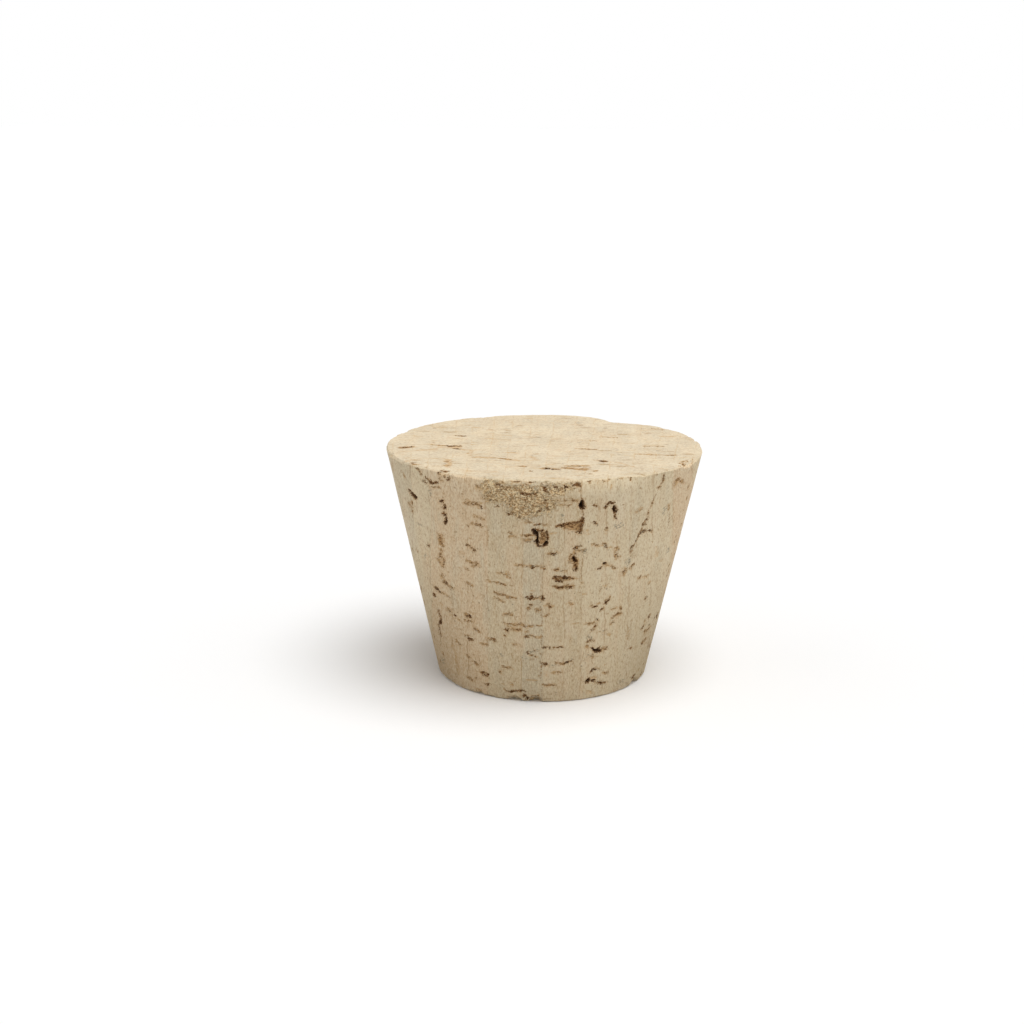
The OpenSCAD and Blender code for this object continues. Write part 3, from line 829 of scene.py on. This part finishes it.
# %% Group: growth rings
def ring_group():
    """Input: Place in mm. Outputs: Line, 1 on a ring's edge; Year, a random number for each ring;
    Tone, the colour of its year."""
    tree, given, out = new_group("growth_rings", {"Place": "Vector"},
                                 {"Line": "Float", "Year": "Float", "Tone": "Color"})
    axes = put(tree, "ShaderNodeSeparateXYZ")
    feed(axes.inputs[0], given["Place"])
    bend = calc("MULTIPLY_ADD", noise(given["Place"], 0.02, 0.07, 1.0), WAVE, -WAVE / 2)
    bend = calc("MULTIPLY_ADD", noise(given["Place"], 0.2, 0.6, 4.0, 0.6), RIPPLE, bend)
    fan = calc("MULTIPLY_ADD", axes.outputs["X"], FAN_GROWTH, FAN)
    bend = calc("SUBTRACT", bend, times(fan, calc("SUBTRACT", axes.outputs["Y"], FAN_FROM)))
    x = calc("ADD", axes.outputs["X"], calc("SUBTRACT", bend, RIPPLE / 2))
    curve = put(tree, "ShaderNodeFloatCurve")
    points = curve.mapping.curves[0].points
    for number, ring_x in enumerate(RING_X[1:-1], 1):
        points.new((ring_x - RING_X[0]) / RING_SPAN, number / YEARS)
    for point in points:
        point.handle_type = "VECTOR"
    curve.mapping.update()
    feed(curve.inputs["Value"], calc("DIVIDE", calc("SUBTRACT", x, RING_X[0]), RING_SPAN))
    count = times(curve.outputs[0], float(YEARS))
    rest = calc("FRACT", count)
    gap = calc("MINIMUM", rest, calc("SUBTRACT", 1.0, rest))
    year = put(tree, "ShaderNodeTexWhiteNoise", noise_dimensions="1D")
    feed(year.inputs["W"], calc("FLOOR", count))
    tones = put(tree, "ShaderNodeValToRGB")
    ramp = tones.color_ramp
    ramp.interpolation = "CONSTANT"
    ramp.elements[1].position = 1 / YEARS
    for number in range(2, YEARS):
        ramp.elements.new(number / YEARS)
    for element, tone in zip(ramp.elements, YEAR_TONES):
        element.color = tone
    feed(tones.inputs["Fac"], curve.outputs[0])
    feed(out["Line"], ease(gap, 0.0, LINE_SHARE, 1.0, 0.0))
    feed(out["Year"], year.outputs["Value"])
    feed(out["Tone"], tones.outputs["Color"])
    return tree


rings = ring_group()
print("growth rings:", len(rings.nodes), "nodes")

# %% [markdown]
# ## Scattered small marks
#
# Between the listed marks the bark is full of smaller ones: short dashes along X,
# specks and dots. Cells of a stretched Voronoi pattern place them. Each cell has a random number,
# which decides whether it holds a mark and how big the mark is. The pattern jumps at each ring, so
# that a dash ends where its year ends.

# %% Group: small marks
JITTER, JUMP, SMALLEST = 0.7, 40.0, 0.3


def mark_group():
    """Inputs: Place in cells; Year; Share of the cells that hold a mark; Reach of the biggest mark
    in cells. Output: Mask, 1 inside a mark."""
    tree, given, out = new_group(
        "small_marks", {"Place": "Vector", "Year": "Float", "Share": "Float", "Reach": "Float"},
        {"Mask": "Float"})
    jitter = put(tree, "ShaderNodeTexNoise")
    feed(jitter.inputs["Vector"], given["Place"])
    feed(jitter.inputs["Scale"], 0.9)
    place = calc("MULTIPLY_ADD", jitter.outputs["Color"], (JITTER,) * 3, given["Place"], kind="VectorMath")
    cells = put(tree, "ShaderNodeTexVoronoi")
    feed(cells.inputs["Vector"], calc("ADD", place, times(given["Year"], JUMP), kind="VectorMath"))
    feed(cells.inputs["Scale"], 1.0)
    chance = put(tree, "ShaderNodeSeparateColor")
    feed(chance.inputs[0], cells.outputs["Color"])
    held = calc("LESS_THAN", chance.outputs[0], given["Share"])
    radius = times(given["Reach"], calc("MULTIPLY_ADD", chance.outputs[1], 1 - SMALLEST, SMALLEST))
    inside = calc("SUBTRACT", radius, cells.outputs["Distance"])
    feed(out["Mask"], times(held, ease(inside, -0.04, 0.08)))
    return tree


small_marks = mark_group()
print("small marks:", len(small_marks.nodes), "nodes")

# %% [markdown]
# ## Grain
#
# Cork is made of tiny cells in rows. On the side that gives a very fine upright hatch, and on the
# ends fine streaks along X. Both are noise, stretched a different way.

# %% Group: grain
def grain_group():
    """Inputs: Place in mm; End, 1 on the end faces. Outputs: Grain and Speckle, fine and finer
    unevenness; Cloud, which is a few millimetres wide."""
    tree, given, out = new_group("cork_grain", {"Place": "Vector", "End": "Float"},
                                 {"Grain": "Float", "Cloud": "Float", "Speckle": "Float"})
    place = given["Place"]
    for name, on_side, on_end in (
            ("Grain", noise(place, 2.6, 0.16, 4.0, 0.65), noise(place, 0.3, 2.2, 4.0, 0.75)),
            ("Speckle", noise(place, 8.0, 2.8, 2.0, 0.9), noise(place, 3.5, 6.5, 3.0, 0.8))):
        choice = put(tree, "ShaderNodeMix", data_type="FLOAT")
        feed(choice.inputs["Factor"], given["End"])
        feed(choice.inputs["A"], on_side)
        feed(choice.inputs["B"], on_end)
        feed(out[name], choice.outputs["Result"])
    feed(out["Cloud"], noise(place, 0.32, 0.2, 3.0, 0.55))
    return tree


grain = grain_group()
print("grain:", len(grain.nodes), "nodes")

# %% [markdown]
# ## The finish
#
# Now the pieces come together. The ground colour is cream, in bands of a few tones, one for each
# year. Over it go the grain, the ring lines and the small marks. The fields that we stored in the
# mesh bring the listed marks. Last come the pores: dark brown, with painted shade that makes them
# nearly black where they are deep.

# %% Material: cut cork
cork = bpy.data.materials.new("cut_cork")
cork.use_nodes = True
mesh.materials.append(cork)
tree = cork.node_tree
shader = tree.nodes["Principled BSDF"]
shader.inputs["Roughness"].default_value = 0.85
shader.inputs["Specular IOR Level"].default_value = 0.25
place = stretch(put(tree, "ShaderNodeTexCoord").outputs["Object"], 1 / MM, 1 / MM)


def field(name):
    """A field of the mesh, by its attribute's name."""
    return put(tree, "ShaderNodeAttribute", attribute_name=name).outputs["Fac"]


ring_line, year, tone = use_group(tree, rings, Place=place)
end_face = field("end_face")
on_side = ease(end_face, 0.0, 1.0, 1.0, 0.0)
fine_grain, cloud, speckle = use_group(tree, grain, Place=place, End=end_face)
blush = noise(place, 0.6, 0.11, 3.0, 0.6)
broken = noise(place, 0.4, 0.35, 3.0, 0.7)
ragged = noise(place, 3.4, 6.5, 3.0, 0.75)
strand = noise(place, 2.6, 7.0, 2.0, 0.8)
blotch = noise(place, 1.7, 3.1, 2.0, 0.6)
print("inputs of the finish:", len(tree.nodes), "nodes")

# %% Ground colour of the side and the ends
def toned(base, *tones):
    """Lays tones over a base colour, each by a noise: the share of a tone goes from start to end as
    its noise goes from low to high."""
    for value, low, high, start, end, colour in tones:
        base = blend(ease(value, low, high, start, end), base, colour)
    return base


side_ground = toned(tone, (blush, 0.50, 0.70, 0.0, 0.7, PINK), (blush, 0.30, 0.46, 0.7, 0.0, ASH),
                    (cloud, 0.50, 0.72, 0.0, 0.45, PALE))
end_ground = toned(END_CREAM, (cloud, 0.40, 0.66, 0.1, 0.6, PALE), (blush, 0.46, 0.62, 0.0, 0.22, PINK),
                   (fine_grain, 0.54, 0.62, 0.0, 0.6, END_STREAK))
ground = toned(blend(end_face, side_ground, end_ground), (fine_grain, 0.33, 0.50, 0.14, 0.0, OCHRE),
               (fine_grain, 0.52, 0.64, 0.0, 0.15, PALE), (speckle, 0.32, 0.49, 0.48, 0.0, BROWN),
               (speckle, 0.50, 0.64, 0.0, 0.7, PALE))
ring_line = times(ring_line, ease(broken, 0.42, 0.60, 0.0, 0.5))
ground = blend(ring_line, ground, blend(end_face, BROWN, END_STREAK))
hair = ease(off_middle(noise(place, 1.6, 0.22, 2.0, 0.6)), 0.004, 0.012, 0.4, 0.0)
hair = times(hair, ease(broken, 0.40, 0.60), on_side)
ground = blend(hair, ground, BROWN)
print("ground built")

# %% Small marks over the ground
worn = ease(ragged, 0.38, 0.56, 0.25, 1.0)
worn_end = times(end_face, ease(ragged, 0.36, 0.56, 0.2, 1.0), ease(cloud, 0.42, 0.58, 1.0, 0.3))
# Cells to the millimetre along X and across, share, reach, colour, strength and wear.
LAYERS = [
    (0.33, 1.8, 0.09, 0.34, OCHRE, 0.8, worn), (0.50, 2.7, 0.06, 0.32, BROWN, 0.6, worn),
    (1.3, 2.6, 0.07, 0.32, BROWN, 0.6, worn), (2.8, 3.3, 0.05, 0.34, DARK, 0.5, worn),
    (0.24, 1.6, 0.38, 0.36, END_STREAK, 1.0, worn_end), (0.28, 1.7, 0.28, 0.36, END_BROWN, 0.95, worn_end),
    (0.5, 1.9, 0.12, 0.36, BROWN, 0.95, worn_end), (0.8, 1.9, 0.07, 0.36, DARK, 0.65, worn_end)]
small_depth = 0.0
for along, across, share, reach, colour, strength, wear in LAYERS:
    cells = stretch(place, along, across)
    masks = use_group(tree, small_marks, Place=cells, Year=year, Share=share, Reach=reach)
    mask = times(masks["Mask"], strength, wear)
    ground = blend(mask, ground, colour)
    small_depth = calc("MAXIMUM", mask, small_depth)
print("small marks:", len(LAYERS), "layers")

# %% Stains and strokes from the mesh's fields
def marked(name, soft, rough, grow=0.0):
    """Share from 0 to 1 of a mark: its field plus ragged noise, stepped over a soft edge."""
    uneven = calc("MULTIPLY_ADD", ragged, rough, field(name))
    return ease(calc("SUBTRACT", uneven, rough / 2 - grow), -soft, soft)


fringe = calc("MAXIMUM", marked("dark", 0.14, 0.5, 0.12), marked("pore", 0.16, 0.5, 0.16))
fringe = calc("MAXIMUM", fringe, marked("brown", 0.14, 0.5, 0.12))
ground = blend(times(fringe, ease(blotch, 0.40, 0.60, 0.15, 0.75)), ground, OCHRE)
fibre = ease(noise(place, 0.8, 6.0, 2.0, 0.8), 0.44, 0.56, 0.25, 1.0)
ochre_tone = blend(ease(blotch, 0.36, 0.50, 0.7, 0.0), OCHRE, BROWN)
ground = blend(times(marked("ochre", 0.12, 0.7), fibre, 0.8), ground, ochre_tone)
brown_share = marked("brown", 0.03, 0.95)
brown_core = times(marked("brown", 0.02, 1.0, -0.02), ease(strand, 0.42, 0.50, 1.0, 0.0))
ground = blend(times(brown_share, 0.85), ground, blend(ease(strand, 0.46, 0.58), BROWN, OCHRE))
ground = blend(times(brown_core, 0.75), ground, DARK)
print("strokes coloured")

# %% The crumbled patch: folds, flakes and dark creases
crumble_share = marked("crumble", 0.15, 2.4)
crease = off_middle(noise(place, 1.8, 2.6, 3.0, 0.7))
flake = noise(place, 3.2, 5.0, 2.0, 0.8)
# The crumbs' colour follows their bump: pale on the raised flakes and dark in the sunk creases. This is
# partly their own tones, and partly painted highlight on the flakes and painted shade in the creases.
crumb_colour = blend(ease(flake, 0.39, 0.46, 1.0, 0.0), CRUMB, BROWN)
crumb_colour = blend(ease(flake, 0.49, 0.55), crumb_colour, PALE_FLAKE_AND_HIGHLIGHT)
crease_brown_and_shade = blend(ease(strand, 0.46, 0.54), DARK, BROWN)
crumb_colour = blend(ease(crease, 0.010, 0.024, 0.95, 0.0), crumb_colour, crease_brown_and_shade)
ground = blend(times(crumble_share, 0.9), ground, crumb_colour)
crevice = calc("SUBTRACT", ease(crease, 0.0, 0.04, 0.6, 0.0), flake)
print("crumbled patch coloured")

# %% Grey specks, dark strokes, cracks and pores
grey_share = times(marked("grey", 0.15, 1.0), ease(ragged, 0.45, 0.6), 0.8)
ground = blend(grey_share, ground, GREY)
dark_share = marked("dark", 0.02, 0.9, 0.04)
ground = blend(dark_share, ground, blend(ease(strand, 0.44, 0.58), DARK, BROWN))
crack_share = times(marked("crack", 0.025, 0.6, 0.02), ease(strand, 0.40, 0.56, 1.0, 0.25))
ground = blend(crack_share, ground, blend(ease(ragged, 0.44, 0.6), DARK, BROWN))
# The pores are dark brown; painted shade makes them nearly black where the push is deepest.
deep = times(ease(field("depth"), 0.32, 0.75), ease(blotch, 0.36, 0.50, 1.0, 0.75))
ground = blend(times(marked("pore", 0.025, 0.8, 0.04), 0.92), ground, blend(deep, DARK, PORE_SHADE_BLACK))
print("dark marks coloured")

# %% [markdown]
# ## Painted shade on the flanks
#
# The left and right of the side are darkened by painted shade, more so towards the small end.
# So the ground is multiplied by a soft grey-brown that grows with the distance from X = 0.

# %% Darken the flanks
# Painted shade: a grey-brown multiplied into the colour of the flanks, most towards the foot.
PAINTED_FLANK_SHADE = (0.66, 0.64, 0.60, 1.0)
axes = put(tree, "ShaderNodeSeparateXYZ")
feed(axes.inputs[0], place)
flank_shade = ease(calc("ABSOLUTE", axes.outputs["X"]), 5.0, 12.5, 0.25, 1.0)
flank_shade = times(flank_shade, on_side, ease(axes.outputs["Z"], 0.0, 17.0, 1.0, 0.0))
ground = blend(flank_shade, ground, PAINTED_FLANK_SHADE, "MULTIPLY")
feed(shader.inputs["Base Color"], ground)
print("finish has", len(tree.nodes), "nodes")

# %% [markdown]
# ## Relief too fine for the mesh
#
# The mesh has a point every sixth of a millimetre. What is finer comes from a bump: the grain, the
# crumbled grains, and the little marks, which sit a hair below the surface.

# %% Bump, as rises in millimetres
height = times(fine_grain, 0.05)
for share, rise in ((speckle, 0.05), (small_depth, -0.05), (ring_line, -0.03), (brown_share, -0.05),
                    (dark_share, -0.06), (times(crumble_share, crevice), -0.10)):
    height = calc("MULTIPLY_ADD", share, rise, height)
bump = put(tree, "ShaderNodeBump")
bump.inputs["Strength"].default_value = 0.8
bump.inputs["Distance"].default_value = MM
feed(bump.inputs["Height"], height)
feed(shader.inputs["Normal"], bump.outputs["Normal"])
print("bump set")

# %% [markdown]
# ## Floor and light
#
# The stopper stands on a plain pale floor in soft studio light. A wide lamp nearly overhead, a
# little to the right, makes the top the brightest face. Two weak wide lamps light the flanks. The
# rest of the light comes evenly from all round and from the floor. What the camera sees of the floor
# and the sky is white.

# %% Floor
FLOOR_HALF = 4.0
FLOOR_TONE = (0.7, 0.7, 0.7, 1)
WHITE = (1, 1, 1, 1)
corners = FLOOR_HALF * np.array([(-1, -1, 0), (1, -1, 0), (1, 1, 0), (-1, 1, 0)])
floor_mesh = bpy.data.meshes.new("floor")
floor_mesh.from_pydata(corners.tolist(), [], [(0, 1, 2, 3)])
floor = bpy.data.objects.new("floor", floor_mesh)
scene.collection.objects.link(floor)
pale = bpy.data.materials.new("pale_floor")
pale.use_nodes = True
floor_mesh.materials.append(pale)
floor_shader = pale.node_tree.nodes["Principled BSDF"]
floor_shader.inputs["Roughness"].default_value = 1.0
floor_shader.inputs["Specular IOR Level"].default_value = 0.0
seen = put(pale.node_tree, "ShaderNodeLightPath").outputs["Is Camera Ray"]
feed(floor_shader.inputs["Base Color"], blend(seen, FLOOR_TONE, WHITE))
print("floor:", 2 * FLOOR_HALF, "m wide")

# %% Sky
AMBIENT = 0.36
world = bpy.data.worlds.new("studio")
scene.world = world
world.use_nodes = True
sky = world.node_tree.nodes["Background"]
path = put(world.node_tree, "ShaderNodeLightPath").outputs
direct = calc("MAXIMUM", path["Is Camera Ray"], path["Is Glossy Ray"])
direct = calc("MAXIMUM", direct, path["Is Transmission Ray"])
sky.inputs["Color"].default_value = WHITE
feed(sky.inputs["Strength"], calc("MULTIPLY_ADD", direct, 1 - AMBIENT, AMBIENT))
print("even light:", AMBIENT)

# %% Lamps: where each shines from, its energy, and how wide it looks in degrees
LAMPS = {"wide_lamp": ((0.22, -0.16, 1.0), 1.84, 45), "left_lamp": ((-1.0, -0.1, 0.6), 0.3, 60),
         "right_lamp": ((1.0, -0.1, 0.6), 0.26, 60)}
for name, (shines_from, energy, wide) in LAMPS.items():
    sun = bpy.data.lights.new(name, "SUN")
    sun.energy = energy
    sun.angle = math.radians(wide)
    lamp = bpy.data.objects.new(name, sun)
    scene.collection.objects.link(lamp)
    lamp.rotation_mode = "QUATERNION"
    lamp.rotation_quaternion = Vector(shines_from).to_track_quat("Z", "Y")
print(len(LAMPS), "lamps")

# %% [markdown]
# ## Camera
#
# The camera looks at the front from a little above, through a 55 mm lens, near enough for the cone
# to narrow visibly towards its foot.

# %% Camera
camera_data = bpy.data.cameras.new("camera")
camera_data.lens = 55.05
camera_data.sensor_width = 36.0
camera_data.clip_start = 0.01
camera_data.clip_end = 20.0
camera = bpy.data.objects.new("camera", camera_data)
scene.collection.objects.link(camera)
stand = Vector((0.0, -164.56, 60.31))
aim = Vector((-3.41, 0.0, 17.48))
lean = Quaternion((0, 0, 1), math.radians(0.325))
camera.location = stand * MM
camera.rotation_mode = "QUATERNION"
camera.rotation_quaternion = (aim - stand).to_track_quat("-Z", "Y") @ lean
scene.camera = camera
scene.view_settings.view_transform = "Standard"
print("camera stands", round(stand.length), "mm from the stopper's foot")
